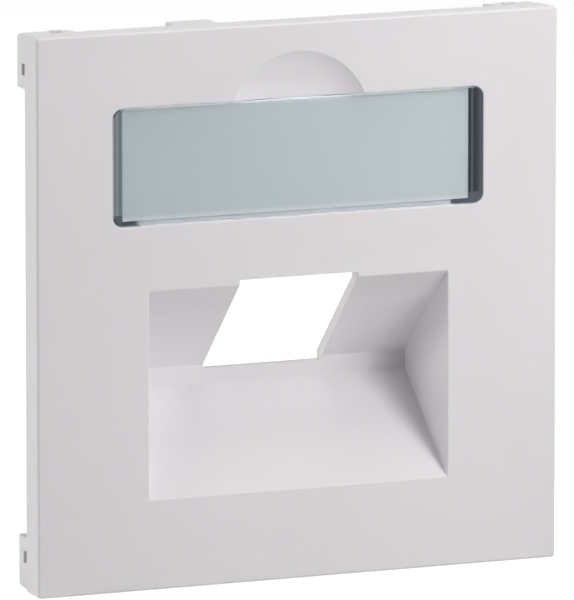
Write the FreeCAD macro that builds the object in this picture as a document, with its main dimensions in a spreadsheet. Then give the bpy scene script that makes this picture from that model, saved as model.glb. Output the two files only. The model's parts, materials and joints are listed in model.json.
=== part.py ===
"""Keystone faceplate: the square centre plate of a flush data outlet.

Frame: +X right, +Z up, +Y back into the wall.  The origin is the centre of the
plane on which the rear edge of the skirt sits, so the front face lies at
y = -skirt_depth.  Millimetres.

Three pieces: the moulded faceplate, its clear label cover, which pulls off
towards the front, and the paper label behind the cover.
"""
import FreeCAD, Part
import math
import os

import Sketcher

PARTS_FOLDER = "parts"
NEAR = 1e-4          # how close an edge must lie to count as on a plane, mm
ORIGIN = -1          # the sketch origin in Sketcher's own numbering

# Driving dimensions, mm and degrees.
SIZES = {
    # plate and skirt
    "plate_side": 63.0,           # square outline at the front face
    "skirt_depth": 3.8,           # front face to the rear edge of the skirt
    "front_wall": 1.95,
    "skirt_wall": 1.5,            # at the skirt's rear edge
    "wall_draft": 1.7,            # mould draft of the skirt's outside
    "corner_radius": 0.4,
    "face_round": 0.3,            # rounding of the front face's outer edge
    # corner snap clips, behind the skirt
    "clip_reach": 2.8,            # how far the clips stand behind the skirt
    "clip_length": 6.25,          # from the plate's corner along each side
    "clip_draft": 3.0,
    "clip_lead": 0.5,             # lead-in at the clips' rear edge, along Y
    "clip_lead_draft": 12.0,
    "clip_corner_radius": 0.7,
    "bead_width": 1.2,
    "bead_length": 1.0,           # along Y
    "bead_setback": 4.05,         # centre of a snap bead from the plate's corner
    "bead_height": 0.2,           # beyond the skirt's rear edge
    "bead_draft": 5.0,
    "slit_length": 1.4,
    "slit_width": 0.4,            # along Y, just in front of the bead
    "slit_depth": 0.6,            # into the clip, so it's blind
    # the one tab on the top edge, behind the skirt
    "tab_reach": 2.95,
    "tab_width": 5.1,
    "tab_place": -10.8,           # its middle along X
    # keystone niche and aperture
    "niche_width": 36.2,
    "niche_height": 23.65,
    "niche_margin": 10.175,       # from the plate's lower edge to the niche
    "niche_depth": 10.75,
    "niche_strip": 2.15,          # flat strip at the deepest place
    "niche_draft": 2.4,           # of the two side walls
    "niche_round": 0.2,
    "tub_wall": 1.2,
    "aperture_width": 14.4,
    "aperture_height": 11.75,
    "aperture_notch": 0.53,       # how far it bites above the niche's mouth
    # label window
    "window_width": 44.82,
    "window_height": 13.27,
    "window_margin": 8.505,       # from the plate's upper edge to the window
    "window_radius": 1.2,
    "window_round": 0.2,
    "cover_thickness": 0.85,
    "cover_play": 0.1,            # gap round the cover
    "cover_lift": 0.05,           # air between cover and label
    "cover_round": 0.12,
    "label_thickness": 0.25,
    "label_end_gap": 1.48,        # window end to label end
    "label_foot_gap": 0.48,       # window's lower edge to the label's
    "label_head_gap": 0.14,       # label's upper edge to the window's
    "leg_pocket_width": 3.44,
    "leg_pocket_depth": 4.4,      # from the front face
    "pocket_wall": 0.9,
    "leg_thickness": 1.15,
    "leg_height": 10.9,
    "leg_reach": 2.6,             # behind the cover's back
    "leg_inset": 0.08,            # from the cover's end
    "leg_bead": 0.1,              # snap bead on the outside of each leg
    "leg_bead_length": 0.7,
    # finger scoop above the window
    "scoop_radius": 8.7,          # of its rim on the front face
    "scoop_depth": 1.3,
    "scoop_drop": 3.4,            # rim centre below the window's top edge
}

# Places and lengths that follow from the driving dimensions.
HALF = "Sizes.plate_side / 2"
SKIRT_INSET = "Sizes.skirt_depth * tan(Sizes.wall_draft * 1 deg)"
RIM_HALF = f"({HALF} - {SKIRT_INSET})"
HOLLOW_HALF = f"({RIM_HALF} - Sizes.skirt_wall)"
CLIP_END = f"({HALF} - Sizes.clip_length)"
CLIP_SHAFT = "(Sizes.clip_reach - Sizes.clip_lead)"
CLIP_LEAN = f"({CLIP_SHAFT} * tan(Sizes.clip_draft * 1 deg))"
BEAD_PLACE = f"({HALF} - Sizes.bead_setback)"
OUTSIDE = "Sizes.plate_side"     # a coordinate well outside the plate

NICHE_LOW = f"(Sizes.niche_margin - {HALF})"
NICHE_TOP = f"({NICHE_LOW} + Sizes.niche_height)"
NICHE_RISE = "((Sizes.niche_height - Sizes.niche_strip) / 2)"
NICHE_HALF = "(Sizes.niche_width / 2)"
TUB_DEPTH = "(Sizes.niche_depth + Sizes.tub_wall)"
# A wall of tub_wall on a slope is this thick when measured along Z.
TUB_WALL_ON_SLOPE = (
    "(Sizes.tub_wall * sqrt(Sizes.niche_depth ^ 2 + "
    "((Sizes.niche_height - Sizes.niche_strip) / 2) ^ 2) / Sizes.niche_depth)"
)
APERTURE_HALF = "(Sizes.aperture_width / 2)"
APERTURE_TOP = f"({NICHE_TOP} + Sizes.aperture_notch)"
APERTURE_LOW = f"({APERTURE_TOP} - Sizes.aperture_height)"

WINDOW_HALF = "(Sizes.window_width / 2)"
WINDOW_TOP = f"({HALF} - Sizes.window_margin)"
WINDOW_LOW = f"({WINDOW_TOP} - Sizes.window_height)"
WINDOW_MIDDLE = f"({WINDOW_TOP} - Sizes.window_height / 2)"
COVER_SEAT = "(Sizes.cover_thickness + Sizes.cover_lift)"
LABEL_BED = f"({COVER_SEAT} + Sizes.label_thickness)"
LABEL_HALF = f"({WINDOW_HALF} - Sizes.label_end_gap)"
LABEL_LOW = f"({WINDOW_LOW} + Sizes.label_foot_gap)"
LABEL_TOP = f"({WINDOW_TOP} - Sizes.label_head_gap)"
POCKET_INNER = f"({WINDOW_HALF} - Sizes.leg_pocket_width)"
COVER_HALF = f"({WINDOW_HALF} - Sizes.cover_play)"
COVER_TOP = f"({WINDOW_TOP} - Sizes.cover_play)"
COVER_LOW = f"({WINDOW_LOW} + Sizes.cover_play)"
COVER_RADIUS = "(Sizes.window_radius - Sizes.cover_play)"
LEG_OUTER = f"({COVER_HALF} - Sizes.leg_inset)"
LEG_INNER = f"({LEG_OUTER} - Sizes.leg_thickness)"

SCOOP_BALL = (
    "((Sizes.scoop_radius ^ 2 + Sizes.scoop_depth ^ 2) / (2 * Sizes.scoop_depth))"
)


def make_sheet(doc):
    """The spreadsheet of driving dimensions, one alias a row."""
    sheet = doc.addObject("Spreadsheet::Sheet", "Sizes")
    for row, (name, value) in enumerate(SIZES.items(), start=1):
        sheet.set(f"A{row}", name)
        sheet.set(f"B{row}", str(value))
        sheet.setAlias(f"B{row}", name)
    doc.recompute()
    return sheet


def upright_plane(body):
    """The body's own XZ plane."""
    for feature in body.Origin.OriginFeatures:
        if feature.Role == "XZ_Plane":
            return feature
    raise LookupError("XZ_Plane")


def make_sketch(body, name, depth="0"):
    """A sketch on the XZ plane, moved forwards by depth.

    Its x is +X, its y is +Z and its normal is -Y.
    """
    sketch = body.newObject("Sketcher::SketchObject", name)
    sketch.AttachmentSupport = (upright_plane(body), "")
    sketch.MapMode = "FlatFace"
    sketch.setExpression("AttachmentOffset.Base.z", depth)
    return sketch


def front_sketch(body, name):
    """A sketch on the front face."""
    return make_sketch(body, name, "Sizes.skirt_depth")


def bind(sketch, kind, place, expression):
    """A signed distance of a point from the origin that follows the sheet."""
    value = float(sketch.evalExpression(expression))
    edge, point = place
    number = sketch.addConstraint(
        Sketcher.Constraint(kind, ORIGIN, 1, edge, point, value)
    )
    sketch.setExpression(f"Constraints[{number}]", expression)


def add_rectangle(sketch, left, right, low, high):
    """A rectangle in a sketch whose four sides follow expressions."""
    x0, x1, y0, y1 = (
        float(sketch.evalExpression(side)) for side in (left, right, low, high)
    )
    corners = [
        FreeCAD.Vector(x0, y0, 0),
        FreeCAD.Vector(x1, y0, 0),
        FreeCAD.Vector(x1, y1, 0),
        FreeCAD.Vector(x0, y1, 0),
    ]
    first = sketch.GeometryCount
    for number, corner in enumerate(corners):
        following = corners[(number + 1) % 4]
        sketch.addGeometry(Part.LineSegment(corner, following), False)
    for number in range(4):
        following = first + (number + 1) % 4
        sketch.addConstraint(
            Sketcher.Constraint("Coincident", first + number, 2, following, 1)
        )
        kind = "Vertical" if number % 2 else "Horizontal"
        sketch.addConstraint(Sketcher.Constraint(kind, first + number))
    bind(sketch, "DistanceX", (first, 1), left)
    bind(sketch, "DistanceY", (first, 1), low)
    bind(sketch, "DistanceX", (first + 2, 1), right)
    bind(sketch, "DistanceY", (first + 2, 1), high)


def add_rounded_rectangle(sketch, left, right, low, high, radius):
    """A rectangle with rounded corners whose sides and radius follow expressions."""
    x0, x1, y0, y1, bend = (
        float(sketch.evalExpression(size)) for size in (left, right, low, high, radius)
    )
    sides = [
        ((x0 + bend, y0), (x1 - bend, y0)),
        ((x1, y0 + bend), (x1, y1 - bend)),
        ((x1 - bend, y1), (x0 + bend, y1)),
        ((x0, y1 - bend), (x0, y0 + bend)),
    ]
    centres = [
        (x1 - bend, y0 + bend),
        (x1 - bend, y1 - bend),
        (x0 + bend, y1 - bend),
        (x0 + bend, y0 + bend),
    ]
    upright = FreeCAD.Vector(0, 0, 1)
    first = sketch.GeometryCount
    for start, end in sides:
        line = Part.LineSegment(FreeCAD.Vector(*start, 0), FreeCAD.Vector(*end, 0))
        sketch.addGeometry(line, False)
    for number, centre in enumerate(centres):
        circle = Part.Circle(FreeCAD.Vector(*centre, 0), upright, bend)
        start = (number - 1) * math.pi / 2
        arc = Part.ArcOfCircle(circle, start, start + math.pi / 2)
        sketch.addGeometry(arc, False)
    for number in range(4):
        line = first + number
        following = first + (number + 1) % 4
        arc = first + 4 + number
        sketch.addConstraint(Sketcher.Constraint("Tangent", line, 2, arc, 1))
        sketch.addConstraint(Sketcher.Constraint("Tangent", arc, 2, following, 1))
        kind = "Vertical" if number % 2 else "Horizontal"
        sketch.addConstraint(Sketcher.Constraint(kind, line))
        if number:
            sketch.addConstraint(Sketcher.Constraint("Equal", first + 4, arc))
    corner = sketch.addConstraint(Sketcher.Constraint("Radius", first + 4, bend))
    sketch.setExpression(f"Constraints[{corner}]", radius)
    bind(sketch, "DistanceY", (first, 1), low)
    bind(sketch, "DistanceX", (first + 1, 1), right)
    bind(sketch, "DistanceY", (first + 2, 1), high)
    bind(sketch, "DistanceX", (first + 3, 1), left)


def add_square(sketch, half, radius=None):
    """A square centred on the sketch origin, rounded if it has a radius."""
    sides = (f"-{half}", half, f"-{half}", half)
    if radius:
        add_rounded_rectangle(sketch, *sides, radius)
    else:
        add_rectangle(sketch, *sides)


def both_ends(sketch, inner, outer, low, high):
    """Two rectangles that mirror each other about the sketch's y axis."""
    add_rectangle(sketch, inner, outer, low, high)
    add_rectangle(sketch, f"-{outer}", f"-{inner}", low, high)


def round_the_sides(sketch, inner, outer, low, high):
    """Eight rectangles, one near each end of each of the plate's four sides."""
    for start, end in ((low, high), (f"-{high}", f"-{low}")):
        both_ends(sketch, inner, outer, start, end)
        add_rectangle(sketch, start, end, inner, outer)
        add_rectangle(sketch, start, end, f"-{outer}", f"-{inner}")


def pad(body, name, sketch, length, draft=None):
    """A pad along +Y.  A draft narrows it as it goes."""
    feature = body.newObject("PartDesign::Pad", name)
    feature.Profile = sketch
    feature.setExpression("Length", length)
    feature.Reversed = True
    if draft:
        feature.setExpression("TaperAngle", f"-{draft}")
    body.Document.recompute()
    return feature


def pocket(body, name, sketch, length, forwards=False):
    """A pocket; it runs along +Y unless forwards turns it to -Y."""
    feature = body.newObject("PartDesign::Pocket", name)
    feature.Profile = sketch
    feature.setExpression("Length", length)
    feature.Reversed = forwards
    check_cut(body, feature)
    return feature


def loft(body, name, kind, near_sketch, far_sketch):
    """A straight-sided loft between two rectangles."""
    feature = body.newObject(f"PartDesign::{kind}Loft", name)
    feature.Profile = near_sketch
    feature.Sections = [far_sketch]
    feature.Ruled = True
    if kind == "Subtractive":
        check_cut(body, feature)
    body.Document.recompute()
    return feature


def check_cut(body, feature):
    """Recompute, and see that a cutting feature took something away."""
    body.Document.recompute()
    before = feature.BaseFeature.Shape.Volume
    after = feature.Shape.Volume
    if not 0 < after < before:
        raise ValueError(f"{feature.Name} cut nothing")


def edges_where(feature, test):
    """The names of a feature's edges whose end points pass a test."""
    names = []
    for number, edge in enumerate(feature.Shape.Edges, start=1):
        if test([vertex.Point for vertex in edge.Vertexes]):
            names.append(f"Edge{number}")
    if not names:
        raise ValueError(f"no such edge on {feature.Name}")
    return names


def runs_back(points):
    """Whether an edge runs from front to back."""
    return abs(points[0].y - points[-1].y) > NEAR


def fillet(body, name, radius, test):
    """A fillet on those edges of the body so far that pass a test."""
    base = body.Tip
    rounding = body.newObject("PartDesign::Fillet", name)
    rounding.Base = (base, edges_where(base, test))
    rounding.setExpression("Radius", radius)
    body.Document.recompute()
    return rounding


def value(sheet, expression):
    """The present value of an expression."""
    return float(sheet.evalExpression(expression.replace("Sizes.", "")))


def add_blank(body, sheet):
    """The square front wall and skirt, still solid, with rounded edges."""
    outline = front_sketch(body, "plate_outline")
    add_square(outline, f"({HALF})", "Sizes.corner_radius")
    pad(body, "plate_blank", outline, "Sizes.skirt_depth", draft="Sizes.wall_draft")
    front = -value(sheet, "Sizes.skirt_depth")
    fillet(
        body,
        "face_rounding",
        "Sizes.face_round",
        lambda points: all(abs(point.y - front) < NEAR for point in points),
    )


def add_clips(body):
    """The drafted ring behind the skirt, cut down to its four corner clips."""
    ring = make_sketch(body, "clip_ring_outline")
    add_square(ring, RIM_HALF, "Sizes.clip_corner_radius")
    pad(body, "clip_ring", ring, CLIP_SHAFT, draft="Sizes.clip_draft")
    lead_in = make_sketch(body, "clip_lead_outline", f"-{CLIP_SHAFT}")
    bend = f"(Sizes.clip_corner_radius - {CLIP_LEAN})"
    add_square(lead_in, f"({RIM_HALF} - {CLIP_LEAN})", bend)
    pad(body, "clip_lead_in", lead_in, "Sizes.clip_lead", draft="Sizes.clip_lead_draft")

    hollow = make_sketch(body, "hollow_outline", "-Sizes.clip_reach")
    add_square(hollow, HOLLOW_HALF)
    depth = "Sizes.clip_reach + Sizes.skirt_depth - Sizes.front_wall"
    pocket(body, "rear_hollow", hollow, depth, forwards=True)

    gaps = make_sketch(body, "clip_gaps", "-Sizes.clip_reach")
    inner = f"({HOLLOW_HALF} - Sizes.skirt_wall)"
    both_ends(gaps, inner, OUTSIDE, f"-{CLIP_END}", CLIP_END)
    add_rectangle(gaps, f"-{CLIP_END}", CLIP_END, f"-{OUTSIDE}", f"-{inner}")
    add_rectangle(gaps, f"-{CLIP_END}", CLIP_END, inner, OUTSIDE)
    pocket(body, "clip_relief", gaps, "Sizes.clip_reach", forwards=True)


def add_tab(body):
    """The straight tab behind the top edge, left of the middle."""
    outline = make_sketch(body, "tab_outline")
    left = "(Sizes.tab_place - Sizes.tab_width / 2)"
    right = "(Sizes.tab_place + Sizes.tab_width / 2)"
    add_rectangle(outline, left, right, HOLLOW_HALF, RIM_HALF)
    pad(body, "tab", outline, "Sizes.tab_reach")


def add_snap_beads(body):
    """A slit and, behind it, a snap bead near each end of each side."""
    slits = make_sketch(body, "slit_outline")
    low = f"({BEAD_PLACE} - Sizes.slit_length / 2)"
    high = f"({BEAD_PLACE} + Sizes.slit_length / 2)"
    round_the_sides(slits, f"({RIM_HALF} - Sizes.slit_depth)", OUTSIDE, low, high)
    pocket(body, "slits", slits, "Sizes.slit_width")

    beads = make_sketch(body, "bead_outline", "-Sizes.slit_width")
    low = f"({BEAD_PLACE} - Sizes.bead_width / 2)"
    high = f"({BEAD_PLACE} + Sizes.bead_width / 2)"
    foot = f"({RIM_HALF} - Sizes.skirt_wall / 2)"
    round_the_sides(beads, foot, f"({RIM_HALF} + Sizes.bead_height)", low, high)
    pad(body, "snap_beads", beads, "Sizes.bead_length", draft="Sizes.bead_draft")


def add_niche(body, sheet):
    """The keystone niche: a tub with a sloping roof and floor, and its aperture."""
    tub_mouth = front_sketch(body, "tub_mouth")
    tub_half = f"({NICHE_HALF} + Sizes.tub_wall)"
    add_rectangle(
        tub_mouth,
        f"-{tub_half}",
        tub_half,
        f"({NICHE_LOW} - {TUB_WALL_ON_SLOPE})",
        f"({NICHE_TOP} + {TUB_WALL_ON_SLOPE})",
    )
    tub_back = make_sketch(body, "tub_back", f"Sizes.skirt_depth - {TUB_DEPTH}")
    back_half = f"({tub_half} - {TUB_DEPTH} * tan(Sizes.niche_draft * 1 deg))"
    climb = f"({NICHE_RISE} * {TUB_DEPTH} / Sizes.niche_depth - {TUB_WALL_ON_SLOPE})"
    add_rectangle(
        tub_back,
        f"-{back_half}",
        back_half,
        f"({NICHE_LOW} + {climb})",
        f"({NICHE_TOP} - {climb})",
    )
    loft(body, "tub", "Additive", tub_mouth, tub_back)

    mouth = front_sketch(body, "niche_mouth")
    add_rectangle(mouth, f"-{NICHE_HALF}", NICHE_HALF, NICHE_LOW, NICHE_TOP)
    strip = make_sketch(body, "niche_strip", "Sizes.skirt_depth - Sizes.niche_depth")
    strip_half = f"({NICHE_HALF} - Sizes.niche_depth * tan(Sizes.niche_draft * 1 deg))"
    add_rectangle(
        strip,
        f"-{strip_half}",
        strip_half,
        f"({NICHE_LOW} + {NICHE_RISE})",
        f"({NICHE_TOP} - {NICHE_RISE})",
    )
    loft(body, "niche", "Subtractive", mouth, strip)
    fillet(
        body,
        "niche_rounding",
        "Sizes.niche_round",
        inside_front(sheet, NICHE_HALF, NICHE_LOW, NICHE_TOP),
    )

    opening = front_sketch(body, "aperture_outline")
    add_rectangle(opening, f"-{APERTURE_HALF}", APERTURE_HALF, APERTURE_LOW, APERTURE_TOP)
    pocket(body, "aperture", opening, f"{TUB_DEPTH} + Sizes.tub_wall")


def inside_front(sheet, half, low, high):
    """A test for edges on the front face within a rectangle."""
    front = -value(sheet, "Sizes.skirt_depth")
    reach = value(sheet, half) + NEAR
    lowest = value(sheet, low) - NEAR
    highest = value(sheet, high) + NEAR

    def test(points):
        return all(
            abs(point.y - front) < NEAR
            and abs(point.x) < reach
            and lowest < point.z < highest
            for point in points
        )

    return test


def add_label_window(body, sheet):
    """The label window: its recess, leg pockets at its ends and the label's bed."""
    housings = front_sketch(body, "leg_housing_outline")
    both_ends(
        housings,
        f"({POCKET_INNER} - Sizes.pocket_wall)",
        f"({WINDOW_HALF} + Sizes.pocket_wall)",
        f"({WINDOW_LOW} - Sizes.pocket_wall)",
        f"({WINDOW_TOP} + Sizes.pocket_wall)",
    )
    pad(body, "leg_housings", housings, "Sizes.leg_pocket_depth + Sizes.pocket_wall")

    recess = front_sketch(body, "window_outline")
    add_rectangle(recess, f"-{WINDOW_HALF}", WINDOW_HALF, WINDOW_LOW, WINDOW_TOP)
    pocket(body, "window_recess", recess, LABEL_BED)
    pockets = front_sketch(body, "leg_pocket_outline")
    both_ends(pockets, POCKET_INNER, WINDOW_HALF, WINDOW_LOW, WINDOW_TOP)
    pocket(body, "leg_pockets", pockets, "Sizes.leg_pocket_depth")

    side = value(sheet, WINDOW_HALF)
    corner_heights = (value(sheet, WINDOW_LOW), value(sheet, WINDOW_TOP))

    def is_window_corner(points):
        on_side = all(abs(abs(point.x) - side) < NEAR for point in points)
        at_end = any(
            all(abs(point.z - height) < NEAR for point in points)
            for height in corner_heights
        )
        return runs_back(points) and on_side and at_end

    fillet(body, "window_corners", "Sizes.window_radius", is_window_corner)
    fillet(
        body,
        "window_rounding",
        "Sizes.window_round",
        inside_front(sheet, WINDOW_HALF, WINDOW_LOW, WINDOW_TOP),
    )

    scoop = body.newObject("PartDesign::SubtractiveSphere", "finger_scoop")
    scoop.setExpression("Radius", SCOOP_BALL)
    scoop.setExpression(
        "Placement.Base.y", f"Sizes.scoop_depth - Sizes.skirt_depth - {SCOOP_BALL}"
    )
    scoop.setExpression("Placement.Base.z", f"{WINDOW_TOP} - Sizes.scoop_drop")
    check_cut(body, scoop)

    bed = make_sketch(body, "label_bed_outline", f"Sizes.skirt_depth - {LABEL_BED}")
    add_rectangle(bed, f"-{POCKET_INNER}", POCKET_INNER, WINDOW_LOW, WINDOW_TOP)
    pad(body, "label_bed", bed, f"Sizes.front_wall - {LABEL_BED}")


def build_faceplate(doc, sheet):
    """The white moulding."""
    body = doc.addObject("PartDesign::Body", "faceplate")
    body.Label = "faceplate"
    add_blank(body, sheet)
    add_clips(body)
    add_tab(body)
    add_snap_beads(body)
    add_niche(body, sheet)
    add_label_window(body, sheet)
    return body


def build_label_cover(doc, sheet):
    """The clear window, flush with the front face, with a leg at each end."""
    body = doc.addObject("PartDesign::Body", "label_cover")
    body.Label = "label_cover"
    pane = front_sketch(body, "pane_outline")
    sides = (f"-{COVER_HALF}", COVER_HALF, COVER_LOW, COVER_TOP)
    add_rounded_rectangle(pane, *sides, COVER_RADIUS)
    pad(body, "pane", pane, "Sizes.cover_thickness")
    fillet(
        body,
        "pane_rounding",
        "Sizes.cover_round",
        inside_front(sheet, COVER_HALF, COVER_LOW, COVER_TOP),
    )

    leg_low = f"({WINDOW_MIDDLE} - Sizes.leg_height / 2)"
    leg_high = f"({WINDOW_MIDDLE} + Sizes.leg_height / 2)"
    pane_back = "Sizes.skirt_depth - Sizes.cover_thickness"
    legs = make_sketch(body, "leg_outline", pane_back)
    both_ends(legs, LEG_INNER, LEG_OUTER, leg_low, leg_high)
    pad(body, "legs", legs, "Sizes.leg_reach")
    bead_start = f"{pane_back} - Sizes.leg_reach + Sizes.leg_bead_length"
    beads = make_sketch(body, "leg_bead_outline", bead_start)
    both_ends(beads, LEG_INNER, f"({LEG_OUTER} + Sizes.leg_bead)", leg_low, leg_high)
    pad(body, "leg_beads", beads, "Sizes.leg_bead_length")
    return body


def build_label_strip(doc):
    """The paper label, lying on its bed behind the cover."""
    label = doc.addObject("Part::Box", "label_strip")
    label.Label = "label_strip"
    label.setExpression("Length", f"2 * {LABEL_HALF}")
    label.setExpression("Width", "Sizes.label_thickness")
    label.setExpression("Height", f"{LABEL_TOP} - {LABEL_LOW}")
    label.setExpression("Placement.Base.x", f"-{LABEL_HALF}")
    label.setExpression("Placement.Base.y", f"{COVER_SEAT} - Sizes.skirt_depth")
    label.setExpression("Placement.Base.z", LABEL_LOW)
    return label


def check(doc, pieces):
    """Refuse a document with a failed object or a bad shape."""
    for item in doc.Objects:
        if "Invalid" in item.State or "Error" in item.State:
            raise ValueError(f"{item.Name} failed: {item.State}")
    for piece in pieces:
        if piece.Shape.isNull() or not piece.Shape.isValid():
            raise ValueError(f"{piece.Label} has no valid shape")
        if len(piece.Shape.Solids) != 1:
            raise ValueError(f"{piece.Label} isn't one solid")


def main():
    """Build the document and write each piece."""
    doc = FreeCAD.newDocument("keystone_faceplate")
    sheet = make_sheet(doc)
    pieces = [
        build_faceplate(doc, sheet),
        build_label_cover(doc, sheet),
        build_label_strip(doc),
    ]
    doc.recompute()
    check(doc, pieces)
    os.makedirs(PARTS_FOLDER, exist_ok=True)
    for piece in pieces:
        piece.Shape.exportStep(f"{PARTS_FOLDER}/{piece.Label}.step")
        box = piece.Shape.BoundBox
        print(
            f"{piece.Label}: {piece.Shape.Volume:.1f} mm3, "
            f"x {box.XMin:.2f} to {box.XMax:.2f}, "
            f"y {box.YMin:.2f} to {box.YMax:.2f}, "
            f"z {box.ZMin:.2f} to {box.ZMax:.2f}"
        )


main()
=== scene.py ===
"""Keystone faceplate: materials, lamps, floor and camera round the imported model."""
import json
import math

import bpy
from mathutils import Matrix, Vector

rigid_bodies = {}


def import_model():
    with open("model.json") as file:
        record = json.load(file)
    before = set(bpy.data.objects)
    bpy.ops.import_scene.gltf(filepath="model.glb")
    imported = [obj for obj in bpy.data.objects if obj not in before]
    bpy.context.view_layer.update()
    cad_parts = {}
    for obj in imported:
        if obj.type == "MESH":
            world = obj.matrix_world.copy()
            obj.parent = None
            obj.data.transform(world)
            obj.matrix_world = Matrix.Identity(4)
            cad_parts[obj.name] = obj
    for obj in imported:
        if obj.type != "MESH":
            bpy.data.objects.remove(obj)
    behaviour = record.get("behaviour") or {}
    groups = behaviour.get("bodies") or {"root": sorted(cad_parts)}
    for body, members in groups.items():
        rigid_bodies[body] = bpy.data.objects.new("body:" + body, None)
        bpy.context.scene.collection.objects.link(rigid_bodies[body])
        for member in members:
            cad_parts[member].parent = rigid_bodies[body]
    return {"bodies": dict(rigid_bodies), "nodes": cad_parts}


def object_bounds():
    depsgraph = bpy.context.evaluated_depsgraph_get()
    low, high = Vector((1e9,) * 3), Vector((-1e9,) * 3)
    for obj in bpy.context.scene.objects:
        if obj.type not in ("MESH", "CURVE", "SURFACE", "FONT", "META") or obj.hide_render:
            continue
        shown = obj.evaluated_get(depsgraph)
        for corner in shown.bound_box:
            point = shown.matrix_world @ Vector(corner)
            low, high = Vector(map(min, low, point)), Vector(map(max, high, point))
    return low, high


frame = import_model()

MM = 0.001


def srgb(red, green, blue):
    """A colour given as 8-bit sRGB, as linear RGBA."""
    def linear(value):
        share = value / 255
        return share / 12.92 if share <= 0.04045 else ((share + 0.055) / 1.055) ** 2.4
    return (linear(red), linear(green), linear(blue), 1.0)


# --------------------------------------------------------------------- colours

WHITE = srgb(234, 231, 234)
WHITE_SHADE = srgb(231, 228, 231)
# Painted shade inside the cover's leg pockets.
POCKET_PAINTED_SHADE = srgb(150, 160, 165)
# Painted light and painted shade for the scoop and the niche's faces.
WHITE_PAINTED_LIGHT = srgb(255, 252, 255)
WHITE_PAINTED_SHADE = srgb(190, 187, 190)

PANE_TINT = srgb(120, 140, 145)
PANE_FOOT = srgb(110, 128, 132)
# Painted light over the bed below the label.
PANE_OVER_BED_PAINTED_LIGHT = srgb(200, 212, 218)
# A painted highlight along the pane's head.
PANE_HEAD_PAINTED_HIGHLIGHT = srgb(205, 214, 216)
LEG_TINT = srgb(150, 162, 163)
# Painted shade in the pockets under the legs.
LEG_PAINTED_SHADE = srgb(92, 102, 107)
# The colour of the pane's painted glow at its head and left end.
RIM_LIGHT = srgb(214, 218, 220)
# Painted shade and highlights in the pane's bands over its legs, each from its left to its
# right.
LEFT_BAND_PAINTED_SHADE = (
    (0.0, srgb(126, 128, 130)),
    (0.1, srgb(128, 132, 133)),
    (0.22, srgb(142, 149, 149)),
    (0.44, srgb(146, 159, 160)),
    (0.66, srgb(117, 128, 130)),
    (0.8, srgb(122, 134, 136)),
    (1.0, srgb(142, 154, 156)),
)
RIGHT_BAND_PAINTED_SHADE = (
    (0.0, srgb(96, 103, 108)),
    (0.08, srgb(36, 46, 52)),
    (0.16, srgb(48, 57, 63)),
    (0.25, srgb(97, 104, 110)),
    (0.45, srgb(46, 54, 60)),
    (0.73, srgb(72, 76, 83)),
    (0.92, srgb(94, 97, 104)),
    (1.0, srgb(70, 73, 80)),
)

PAPER = srgb(208, 219, 223)
PAPER_SHADE = srgb(204, 214, 218)
# Painted light: the paper is lighter to the right.
PAPER_PAINTED_LIGHT = srgb(221, 230, 234)
# Painted light near the paper's top and bottom edges.
PAPER_EDGE_PAINTED_LIGHT = srgb(240, 247, 250)

FLOOR_PALE = (0.82, 0.82, 0.82, 1)
FLOOR_SHADE = (0.80, 0.80, 0.80, 1)
FULL_WHITE = (1, 1, 1, 1)

# -------------------------------------------------- places on the object, metres

SCOOP_RADIUS = 8.7 * MM
SCOOP_DEPTH = 1.3 * MM
SCOOP_CENTRE = 19.6 * MM
SCOOP_BEHIND = -2.3 * MM

PANE_MIDDLE = -3.4 * MM
LEG_FRONT = -2.9 * MM
LEG_LOW = 11.1 * MM
LEG_LOW_FADE = 0.1 * MM
PANE_TOP = 22.85 * MM
PANE_END = 22.31 * MM
PANE_SIDE = 22.27 * MM
# The inner edges of the pane's painted bands of shade and highlight.
LEFT_BAND_EDGE = -21.31 * MM
RIGHT_BAND_EDGE = 20.56 * MM
FOOT_LEFT = -19.4 * MM
FOOT_RIGHT = 18.5 * MM

LABEL_LOW = 10.2 * MM
LABEL_LOW_FADE = 0.05 * MM
LABEL_HIGH = 22.85 * MM
LABEL_SIDE = 20.93 * MM
# How far from the label's top and bottom its painted edge light reaches.
LABEL_EDGE = 0.6 * MM

# The box inside which the pockets get their painted shade.
POCKET_INNER = 18.9 * MM
POCKET_OUTER = 22.5 * MM
POCKET_LOW = 9.6 * MM
POCKET_HIGH = 23.85 * MM
POCKET_START = -3.7 * MM
POCKET_FLOOR = 0.65 * MM

# The niche's roof is y + z = ROOF_SUM, and its floor is z - y = FLOOR_DIFFERENCE.
NICHE_MOUTH = -3.8 * MM
NICHE_END = 6.95 * MM
NICHE_SIDE = 18.1 * MM
NICHE_DRAFT = math.tan(math.radians(2.4))
ROOF_SUM = -1.475 * MM
FLOOR_DIFFERENCE = -17.525 * MM
# A face's painted light or shade reaches this far past it. The wall's and the strip's stop
# short of their rounded edges.
NICHE_MARGIN = 0.3 * MM
NICHE_Y = (NICHE_MOUTH + 0.1 * MM, NICHE_END + 0.25 * MM)
NICHE_X = NICHE_SIDE + 0.2 * MM
WALL_START = NICHE_SIDE - 0.06 * MM
STRIP_START = NICHE_END - 0.02 * MM

# ------------------------------------------------- how strongly a place is tinted or painted with light or shade

PANE_ALPHA = 0.1
FOOT_ALPHA = 0.15
OVER_BED_ALPHA = 0.2
HEAD_ALPHA = 0.6
BAND_ALPHA = 0.9
LEG_ALPHA = 0.4
LIGHTING_SHARE = 0.1
# The strength of the pane's painted glow.
RIM_GLOW = 0.4
# The share of painted light at the paper's right end.
RIGHT_LIGHT_SHARE = 0.75

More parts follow.
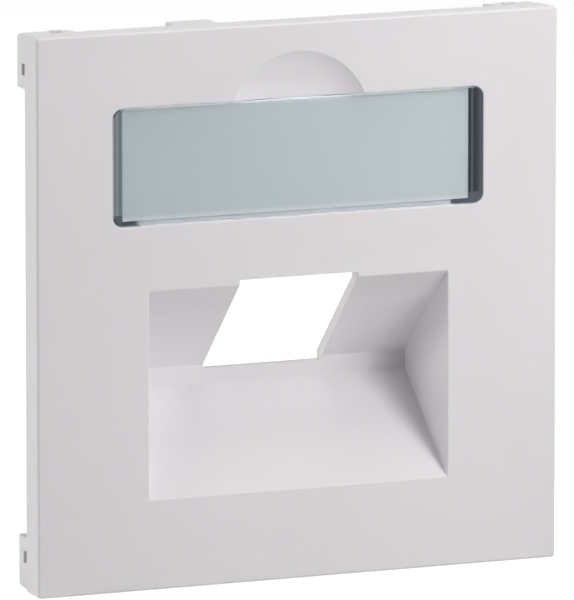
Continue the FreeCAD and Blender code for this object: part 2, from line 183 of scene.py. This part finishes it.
# The scoop and each face of the niche: the share of painted light or painted shade, and
# the stretch over which it comes in, as a depth behind the mouth, an x or a z.
SCOOP_LIGHT = 0.3
SCOOP_LIGHT_Z = (25.4 * MM, 23 * MM)
SCOOP_LIGHT_X = (6 * MM, 3.5 * MM)
SCOOP_RIM = 0.999
ROOF_LIGHT = 0.65
ROOF_LIGHT_DEPTH = (2.5 * MM, 10.4 * MM)
ROOF_LIGHT_X = (11.5 * MM, 6 * MM)
STRIP_SHARE = 0.55
FLOOR_LIGHT = 0.25
FLOOR_LIGHT_DEPTH = (5 * MM, 9 * MM)
FLOOR_LIGHT_X = (-9 * MM, -14 * MM)
WALL_LIGHT = (0.35, 0.8)
WALL_LIGHT_Z = (-13 * MM, -19 * MM)
MOUTH_DARK = (0.08, 0.28)
MOUTH_DARK_DEPTH = (3.5 * MM, 0.5 * MM)
MOUTH_DARK_X = (-10 * MM, 10 * MM)
CORNER_DARK = (0.3, 0.7)
CORNER_DARK_DEPTH = (9.5 * MM, 10.75 * MM)
CORNER_DARK_X = (13 * MM, 16.5 * MM)
CORNER_START = (2.5 * MM, 4.5 * MM)

# ------------------------------------------------------------ surfaces and floor

# A noise's features measure about 1 / scale metres.
NOISE_RANGE = (0.3, 0.7)
PLASTIC_IOR = 1.49

FLOW_SCALE = 45.0
GRAIN_SCALE = 5200.0
GRAIN_SHARE = 0.35
RIPPLE_SCALE = 420.0
WHITE_RELIEF = 0.006 * MM
WHITE_ROUGHNESS = (0.42, 0.5)

PANE_RIPPLE_SCALE = 160.0
SMEAR_SCALE = 900.0
SMEAR_STRETCH = (1.0, 1.0, 0.2)
PANE_RELIEF = 0.004 * MM
PANE_ROUGHNESS = (0.04, 0.08)
PANE_SPECULAR = 0.15

FIBRE_SCALE = 3800.0
FIBRE_STRETCH = (0.35, 1.0, 1.0)
CLOUD_SCALE = 260.0
PAPER_RELIEF = 0.008 * MM
PAPER_ROUGHNESS = (0.75, 0.9)

FLOOR_SCALE = 3.0
FLOOR_ROUGHNESS = 0.9
FLOOR_GLOW = 0.79
FLOOR_HALF = 3.0

# -------------------------------------------------------------- lamps and camera

# name, azimuth, elevation, distance, size, power
LAMPS = (
    ("key", 28, 32, 0.25, 0.06, 0.151),
    ("key_soft", 38, 30, 0.25, 0.2, 0.107),
    ("key_side", 35, 30, 0.35, 0.08, 0.0875),
    ("key_high", 26, 50, 0.35, 0.1, 0.1875),
    ("left_rear", -112, 10, 0.50, 0.3, 0.998),
    ("left", -95, 25, 0.50, 0.3, 0.266),
    ("top", 0, 85, 0.50, 0.3, 0.862),
)

CAMERA_AZIMUTH = -22.998
CAMERA_ELEVATION = 9.854
CAMERA_DISTANCE = 1.2628
CAMERA_LENS = 678.5
CAMERA_SENSOR = 36.0
CAMERA_CLIP = (0.05, 50)
AIM_RIGHT = -1.386 * MM
AIM_UP = 0.135 * MM


# ---------------------------------------------------------------- node helpers

class Nodes:
    """The node tree of a material or a world, with short calls for its nodes."""

    def __init__(self, owner, output):
        owner.use_nodes = True
        self.owner = owner
        self.tree = owner.node_tree
        self.tree.nodes.clear()
        self.output = self.tree.nodes.new(output)
        self.place = None

    def put(self, socket, value):
        """A link, or a number or colour, into a socket."""
        if isinstance(value, bpy.types.NodeSocket):
            self.tree.links.new(value, socket)
        else:
            socket.default_value = value

    def shader(self, kind, **sockets):
        """A shader node with these sockets set."""
        node = self.tree.nodes.new(kind)
        for name, value in sockets.items():
            self.put(node.inputs[name.replace("_", " ")], value)
        return node.outputs[0]

    def principled(self, **sockets):
        """A Principled shader with these sockets set."""
        return self.shader("ShaderNodeBsdfPrincipled", **sockets)

    def finish(self, shader):
        """The shader goes to the output."""
        self.tree.links.new(shader, self.output.inputs["Surface"])
        return self.owner

    def noise(self, scale, detail=2.0, rough=0.5, stretch=None):
        """Noise between 0 and 1, in features of about 1 / scale metres."""
        texture = self.tree.nodes.new("ShaderNodeTexNoise")
        texture.inputs["Scale"].default_value = scale
        texture.inputs["Detail"].default_value = detail
        texture.inputs["Roughness"].default_value = rough
        place = self.place
        if stretch:
            mapping = self.tree.nodes.new("ShaderNodeMapping")
            mapping.inputs["Scale"].default_value = stretch
            self.put(mapping.inputs["Vector"], place)
            place = mapping.outputs["Vector"]
        self.put(texture.inputs["Vector"], place)
        return texture.outputs["Fac"]

    def math(self, operation, first, second=0.0, clamp=False):
        """One Math node."""
        node = self.tree.nodes.new("ShaderNodeMath")
        node.operation = operation
        node.use_clamp = clamp
        self.put(node.inputs[0], first)
        self.put(node.inputs[1], second)
        return node.outputs[0]

    def chain(self, operation, first, *others):
        """One Math operation over all the values."""
        for other in others:
            first = self.math(operation, first, other)
        return first

    def product(self, *values):
        """All the values multiplied."""
        return self.chain("MULTIPLY", *values)

    def highest(self, *values):
        """The highest of the values."""
        return self.chain("MAXIMUM", *values)

    def opposite(self, value):
        """1 minus the value."""
        return self.math("SUBTRACT", 1.0, value)

    def remap(self, value, low, high, to_low=0.0, to_high=1.0):
        """value from low..high to to_low..to_high, clamped."""
        node = self.tree.nodes.new("ShaderNodeMapRange")
        for number, item in enumerate((value, low, high, to_low, to_high)):
            self.put(node.inputs[number], item)
        return node.outputs["Result"]

    def spread(self, noise, low=0.0, high=1.0):
        """The usual range of a noise, spread over low..high."""
        return self.remap(noise, *NOISE_RANGE, low, high)

    def mix(self, share, first, second):
        """A colour between two others."""
        node = self.tree.nodes.new("ShaderNodeMix")
        node.data_type = "RGBA"
        self.put(node.inputs["Factor"], share)
        self.put(node.inputs["A"], first)
        self.put(node.inputs["B"], second)
        return node.outputs["Result"]

    def ramp(self, value, stops):
        """A colour between stops, each a place from 0 to 1 and a colour."""
        node = self.tree.nodes.new("ShaderNodeValToRGB")
        elements = node.color_ramp.elements
        elements[0].position, elements[0].color = stops[0]
        elements[1].position, elements[1].color = stops[-1]
        for place, colour in stops[1:-1]:
            elements.new(place).color = colour
        self.put(node.inputs["Fac"], value)
        return node.outputs["Color"]

    def above(self, value, limit):
        """1 where value is above limit, otherwise 0."""
        return self.math("GREATER_THAN", value, limit)

    def below(self, value, limit):
        """1 where value is below limit, otherwise 0."""
        return self.math("LESS_THAN", value, limit)

    def between(self, value, low, high):
        """1 where value lies between low and high, otherwise 0."""
        return self.product(self.above(value, low), self.below(value, high))

    def bump(self, height, depth, over=None):
        """A normal from a height that stands for depth metres, over another normal."""
        node = self.tree.nodes.new("ShaderNodeBump")
        node.inputs["Distance"].default_value = depth
        self.put(node.inputs["Height"], height)
        if over:
            self.put(node.inputs["Normal"], over)
        return node.outputs["Normal"]

    def axes(self):
        """The X, Y and Z of the place on the object, in metres."""
        node = self.tree.nodes.new("ShaderNodeSeparateXYZ")
        self.put(node.inputs[0], self.place)
        return node.outputs["X"], node.outputs["Y"], node.outputs["Z"]

    def on_ray(self, *kinds):
        """1 on any of these kinds of ray, otherwise 0."""
        path = self.tree.nodes.new("ShaderNodeLightPath")
        return self.highest(*(path.outputs[f"Is {kind} Ray"] for kind in kinds))


def material_nodes(name):
    """The node tree of a new material, with the place on the object to hand."""
    nodes = Nodes(bpy.data.materials.new(name), "ShaderNodeOutputMaterial")
    nodes.place = nodes.tree.nodes.new("ShaderNodeTexCoord").outputs["Object"]
    return nodes


# ------------------------------------------------------------------- materials

def scoop_reach(nodes, x, z):
    """The squared distance from the scoop's middle, 1 at its rim and outside it."""
    across = nodes.math("DIVIDE", x, SCOOP_RADIUS)
    along = nodes.math("DIVIDE", nodes.math("SUBTRACT", z, SCOOP_CENTRE), SCOOP_RADIUS)
    return nodes.math(
        "ADD", nodes.product(across, across), nodes.product(along, along), clamp=True)


def scoop_painted_light(nodes, colour):
    """Painted light: the scoop is painted a little lighter towards the window."""
    x, y, z = nodes.axes()
    light = nodes.product(
        nodes.below(scoop_reach(nodes, x, z), SCOOP_RIM),
        nodes.below(y, SCOOP_BEHIND),
        nodes.remap(z, *SCOOP_LIGHT_Z, 0.0, SCOOP_LIGHT),
        nodes.remap(x, *SCOOP_LIGHT_X),
    )
    return nodes.mix(light, colour, WHITE_PAINTED_LIGHT)


def scoop_normal(nodes):
    """The scoop's floor looks flatter and its rim steeper than the plain ball cut."""
    x, y, z = nodes.axes()
    reach = scoop_reach(nodes, x, z)
    dip = nodes.math("SUBTRACT", nodes.product(reach, reach), reach)
    return nodes.bump(nodes.product(dip, nodes.below(y, SCOOP_BEHIND)), SCOOP_DEPTH)


def pocket_painted_shade(nodes, colour):
    """Painted shade: the cover's leg pockets are painted darker inside."""
    x, y, z = nodes.axes()
    inside = nodes.product(
        nodes.between(nodes.math("ABSOLUTE", x), POCKET_INNER, POCKET_OUTER),
        nodes.between(y, POCKET_START, POCKET_FLOOR),
        nodes.between(z, POCKET_LOW, POCKET_HIGH),
    )
    return nodes.mix(inside, colour, POCKET_PAINTED_SHADE)


def niche_painted_light_and_shade(nodes, colour):
    """Painted light and shade on the niche's faces, as light between them leaves them.

    They are painted lighter deep inside and on the right wall, and painted darker on the
    roof near its mouth and round the deep right corner.
    """
    x, y, z = nodes.axes()
    depth = nodes.math("SUBTRACT", y, NICHE_MOUTH)
    total = nodes.math("ADD", y, z)
    inside = nodes.product(
        nodes.below(nodes.math("ABSOLUTE", x), NICHE_X),
        nodes.between(y, *NICHE_Y),
        nodes.below(total, ROOF_SUM + NICHE_MARGIN),
        nodes.above(nodes.math("SUBTRACT", z, y), FLOOR_DIFFERENCE - NICHE_MARGIN),
    )
    side = nodes.math("ADD", x, nodes.product(depth, NICHE_DRAFT))
    on_wall = nodes.above(side, WALL_START)
    on_roof = nodes.above(total, ROOF_SUM - NICHE_MARGIN)
    on_strip = nodes.above(y, STRIP_START)
    upper = nodes.product(nodes.highest(on_roof, on_strip), nodes.opposite(on_wall))

    roof_light = nodes.product(
        upper,
        nodes.remap(depth, *ROOF_LIGHT_DEPTH, 0.0, ROOF_LIGHT),
        nodes.remap(x, *ROOF_LIGHT_X),
        nodes.remap(on_strip, 0.0, 1.0, 1.0, STRIP_SHARE),
    )
    floor_light = nodes.product(
        nodes.opposite(upper),
        nodes.remap(x, *FLOOR_LIGHT_X, 0.0, FLOOR_LIGHT),
        nodes.remap(depth, *FLOOR_LIGHT_DEPTH),
    )
    wall_light = nodes.product(on_wall, nodes.remap(z, *WALL_LIGHT_Z, *WALL_LIGHT))
    light = nodes.highest(roof_light, floor_light, wall_light)

    mouth_dark = nodes.product(
        on_roof,
        nodes.remap(depth, *MOUTH_DARK_DEPTH),
        nodes.remap(x, *MOUTH_DARK_X, *MOUTH_DARK),
    )
    corner_dark = nodes.product(
        upper,
        nodes.remap(x, *CORNER_DARK_X),
        nodes.remap(depth, *CORNER_START),
        nodes.remap(depth, *CORNER_DARK_DEPTH, *CORNER_DARK),
    )
    dark = nodes.highest(mouth_dark, corner_dark)
    # Painted light, then painted shade, over the niche's own colour.
    colour = nodes.mix(nodes.product(inside, light), colour, WHITE_PAINTED_LIGHT)
    return nodes.mix(nodes.product(inside, dark), colour, WHITE_PAINTED_SHADE)


def white_plastic():
    """Satin white moulded plastic with a fine grain, a faint flow, and painted light and
    shade.
    """
    nodes = material_nodes("white_plastic")
    flow = nodes.noise(FLOW_SCALE, detail=3.0)
    grain = nodes.noise(GRAIN_SCALE, rough=0.6)
    ripple = nodes.noise(RIPPLE_SCALE)
    colour = nodes.mix(nodes.spread(flow), WHITE_SHADE, WHITE)
    # Painted shade in the pockets, painted light and shade in the niche, painted light in
    # the scoop.
    for tone in (pocket_painted_shade, niche_painted_light_and_shade, scoop_painted_light):
        colour = tone(nodes, colour)
    height = nodes.math("ADD", nodes.product(grain, GRAIN_SHARE), ripple)
    return nodes.finish(nodes.principled(
        Base_Color=colour,
        Roughness=nodes.spread(grain, *WHITE_ROUGHNESS),
        Normal=nodes.bump(height, WHITE_RELIEF, over=scoop_normal(nodes)),
        IOR=PLASTIC_IOR,
    ))


def clear_plastic():
    """Clear acrylic: a cool tint in the pane, and grey-green bands of painted shade and
    highlight over its legs.
    """
    nodes = material_nodes("clear_plastic")
    ripple = nodes.noise(PANE_RIPPLE_SCALE)
    smear = nodes.noise(SMEAR_SCALE, detail=3.0, stretch=SMEAR_STRETCH)
    x, y, z = nodes.axes()

    # The painted bands of shade and highlight lie on the pane's front alone.
    at_right = nodes.above(x, RIGHT_BAND_EDGE)
    at_end = nodes.product(
        nodes.highest(nodes.below(x, LEFT_BAND_EDGE), at_right), nodes.below(y, PANE_MIDDLE))
    left_band_shade = nodes.ramp(nodes.remap(x, -PANE_END, LEFT_BAND_EDGE), LEFT_BAND_PAINTED_SHADE)
    right_band_shade = nodes.ramp(nodes.remap(x, RIGHT_BAND_EDGE, PANE_END), RIGHT_BAND_PAINTED_SHADE)
    band_shade = nodes.mix(at_right, left_band_shade, right_band_shade)
    # Below the legs the bands turn to painted shade.
    band_shade = nodes.mix(nodes.remap(z, LEG_LOW, LEG_LOW - LEG_LOW_FADE), band_shade, LEG_PAINTED_SHADE)

    in_leg = nodes.above(y, LEG_FRONT)
    at_head = nodes.above(z, PANE_TOP)
    at_foot = nodes.remap(z, LABEL_LOW, LABEL_LOW - LABEL_LOW_FADE)
    over_bed = nodes.product(at_foot, nodes.between(x, FOOT_LEFT, FOOT_RIGHT))
    colour = nodes.mix(at_foot, PANE_TINT, PANE_FOOT)
    # Painted light over the bed under the label, and a painted highlight at the pane's
    # head.
    colour = nodes.mix(over_bed, colour, PANE_OVER_BED_PAINTED_LIGHT)
    colour = nodes.mix(at_head, colour, PANE_HEAD_PAINTED_HIGHLIGHT)
    # Painted shade and highlights in the bands over the legs.
    colour = nodes.mix(at_end, colour, band_shade)
    colour = nodes.mix(in_leg, colour, LEG_TINT)

    alpha = nodes.chain(
        "ADD", nodes.product(at_foot, FOOT_ALPHA), PANE_ALPHA,
        nodes.product(over_bed, OVER_BED_ALPHA))
    alpha = nodes.highest(
        alpha, nodes.product(at_head, HEAD_ALPHA), nodes.product(at_end, BAND_ALPHA))
    alpha = nodes.math("MINIMUM", alpha, nodes.remap(in_leg, 0.0, 1.0, 1.0, LEG_ALPHA))
    # Light passes almost unhindered, so that the label behind stays bright.
    lighting = nodes.on_ray("Shadow", "Diffuse")
    alpha = nodes.product(alpha, nodes.remap(lighting, 0.0, 1.0, 1.0, LIGHTING_SHARE))

    # A faint painted glow along the pane's left end and its head.
    at_rim = nodes.product(
        nodes.highest(nodes.below(x, -PANE_SIDE), at_head), nodes.opposite(in_leg))
    return nodes.finish(nodes.principled(
        Base_Color=colour,
        Alpha=alpha,
        Roughness=nodes.spread(smear, *PANE_ROUGHNESS),
        Normal=nodes.bump(ripple, PANE_RELIEF),
        IOR=PLASTIC_IOR,
        Specular_IOR_Level=PANE_SPECULAR,
        Emission_Color=RIM_LIGHT,
        Emission_Strength=nodes.product(at_rim, RIM_GLOW),
    ))


def paper():
    """Uncoated label paper with short fibres, and painted light to the right and at its
    edges.
    """
    nodes = material_nodes("paper")
    fibre = nodes.noise(FIBRE_SCALE, detail=4.0, rough=0.6, stretch=FIBRE_STRETCH)
    cloud = nodes.noise(CLOUD_SCALE, detail=3.0)
    tone = nodes.product(nodes.math("ADD", fibre, cloud), 0.5)
    colour = nodes.mix(nodes.spread(tone), PAPER_SHADE, PAPER)
    x, _, z = nodes.axes()
    # Painted light: lighter towards the right, and near the top and bottom edges.
    light_to_right = nodes.remap(x, -LABEL_SIDE, LABEL_SIDE, 0.0, RIGHT_LIGHT_SHARE)
    colour = nodes.mix(light_to_right, colour, PAPER_PAINTED_LIGHT)
    edge_light = nodes.highest(
        nodes.remap(z, LABEL_LOW + LABEL_EDGE, LABEL_LOW),
        nodes.remap(z, LABEL_HIGH - LABEL_EDGE, LABEL_HIGH))
    return nodes.finish(nodes.principled(
        Base_Color=nodes.mix(edge_light, colour, PAPER_EDGE_PAINTED_LIGHT),
        Roughness=nodes.spread(fibre, *PAPER_ROUGHNESS),
        Normal=nodes.bump(fibre, PAPER_RELIEF),
    ))


def floor_paper():
    """A white floor: plain white to the camera, and it keeps the object's shadow."""
    nodes = material_nodes("floor_white")
    cloud = nodes.noise(FLOOR_SCALE)
    diffuse = nodes.principled(
        Base_Color=nodes.mix(cloud, FLOOR_SHADE, FLOOR_PALE), Roughness=FLOOR_ROUGHNESS)
    seen = nodes.on_ray("Camera", "Glossy", "Transmission")
    glow = nodes.shader(
        "ShaderNodeEmission", Color=FULL_WHITE, Strength=nodes.product(seen, FLOOR_GLOW))
    both = nodes.tree.nodes.new("ShaderNodeAddShader")
    nodes.put(both.inputs[0], diffuse)
    nodes.put(both.inputs[1], glow)
    return nodes.finish(both.outputs[0])


# ----------------------------------------------------------------------- scene

def clear_start():
    """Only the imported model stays."""
    kept = set(frame["nodes"].values()) | set(frame["bodies"].values())
    for item in list(bpy.data.objects):
        if item not in kept:
            bpy.data.objects.remove(item)


def dress():
    """Each CAD node gets its material."""
    made = {
        "faceplate": white_plastic(),
        "label_cover": clear_plastic(),
        "label_strip": paper(),
    }
    for name, material in made.items():
        for slot in frame["nodes"][name].material_slots:
            slot.material = material


def add_floor(height):
    """The floor just under the object."""
    mesh = bpy.data.meshes.new("floor")
    corners = [(-1, -1), (1, -1), (1, 1), (-1, 1)]
    points = [(x * FLOOR_HALF, y * FLOOR_HALF, 0) for x, y in corners]
    mesh.from_pydata(points, [], [(0, 1, 2, 3)])
    mesh.materials.append(floor_paper())
    floor = bpy.data.objects.new("floor", mesh)
    floor.location.z = height
    bpy.context.scene.collection.objects.link(floor)


def direction(azimuth, elevation):
    """A unit vector from the object, azimuth 0 in front of it and 90 to its right."""
    turn, rise = math.radians(azimuth), math.radians(elevation)
    return Vector((
        math.sin(turn) * math.cos(rise),
        -math.cos(turn) * math.cos(rise),
        math.sin(rise),
    ))


def add_lamp(name, azimuth, elevation, distance, size, power):
    """A square soft box that looks at the object and isn't seen itself."""
    data = bpy.data.lights.new(name, "AREA")
    data.shape = "SQUARE"
    data.size = size
    data.energy = power
    lamp = bpy.data.objects.new(name, data)
    way = direction(azimuth, elevation)
    lamp.location = way * distance
    lamp.rotation_mode = "QUATERNION"
    lamp.rotation_quaternion = (-way).to_track_quat("-Z", "Y")
    lamp.visible_camera = False
    bpy.context.scene.collection.objects.link(lamp)


def add_room():
    """A room that is white to look at and gives no light of its own."""
    world = bpy.data.worlds.new("room")
    bpy.context.scene.world = world
    nodes = Nodes(world, "ShaderNodeOutputWorld")
    seen = nodes.on_ray("Camera", "Glossy", "Transmission")
    nodes.finish(nodes.shader("ShaderNodeBackground", Color=FULL_WHITE, Strength=seen))


def add_camera(front):
    """A long lens on the plate's front, from the left and a little above."""
    data = bpy.data.cameras.new("camera")
    data.lens = CAMERA_LENS
    data.sensor_width = CAMERA_SENSOR
    data.clip_start, data.clip_end = CAMERA_CLIP
    camera = bpy.data.objects.new("camera", data)
    back = direction(CAMERA_AZIMUTH, CAMERA_ELEVATION)
    turn = (-back).to_track_quat("-Z", "Y")
    camera.rotation_mode = "QUATERNION"
    camera.rotation_quaternion = turn
    aim = Vector((0, front, 0)) + turn @ Vector((AIM_RIGHT, AIM_UP, 0))
    camera.location = aim + back * CAMERA_DISTANCE
    bpy.context.scene.collection.objects.link(camera)
    bpy.context.scene.camera = camera


clear_start()
cad_low, cad_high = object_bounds()
dress()
add_floor(cad_low.z)
for lamp in LAMPS:
    add_lamp(*lamp)
add_room()
add_camera(cad_low.y)
bpy.context.scene.view_settings.view_transform = "Standard"
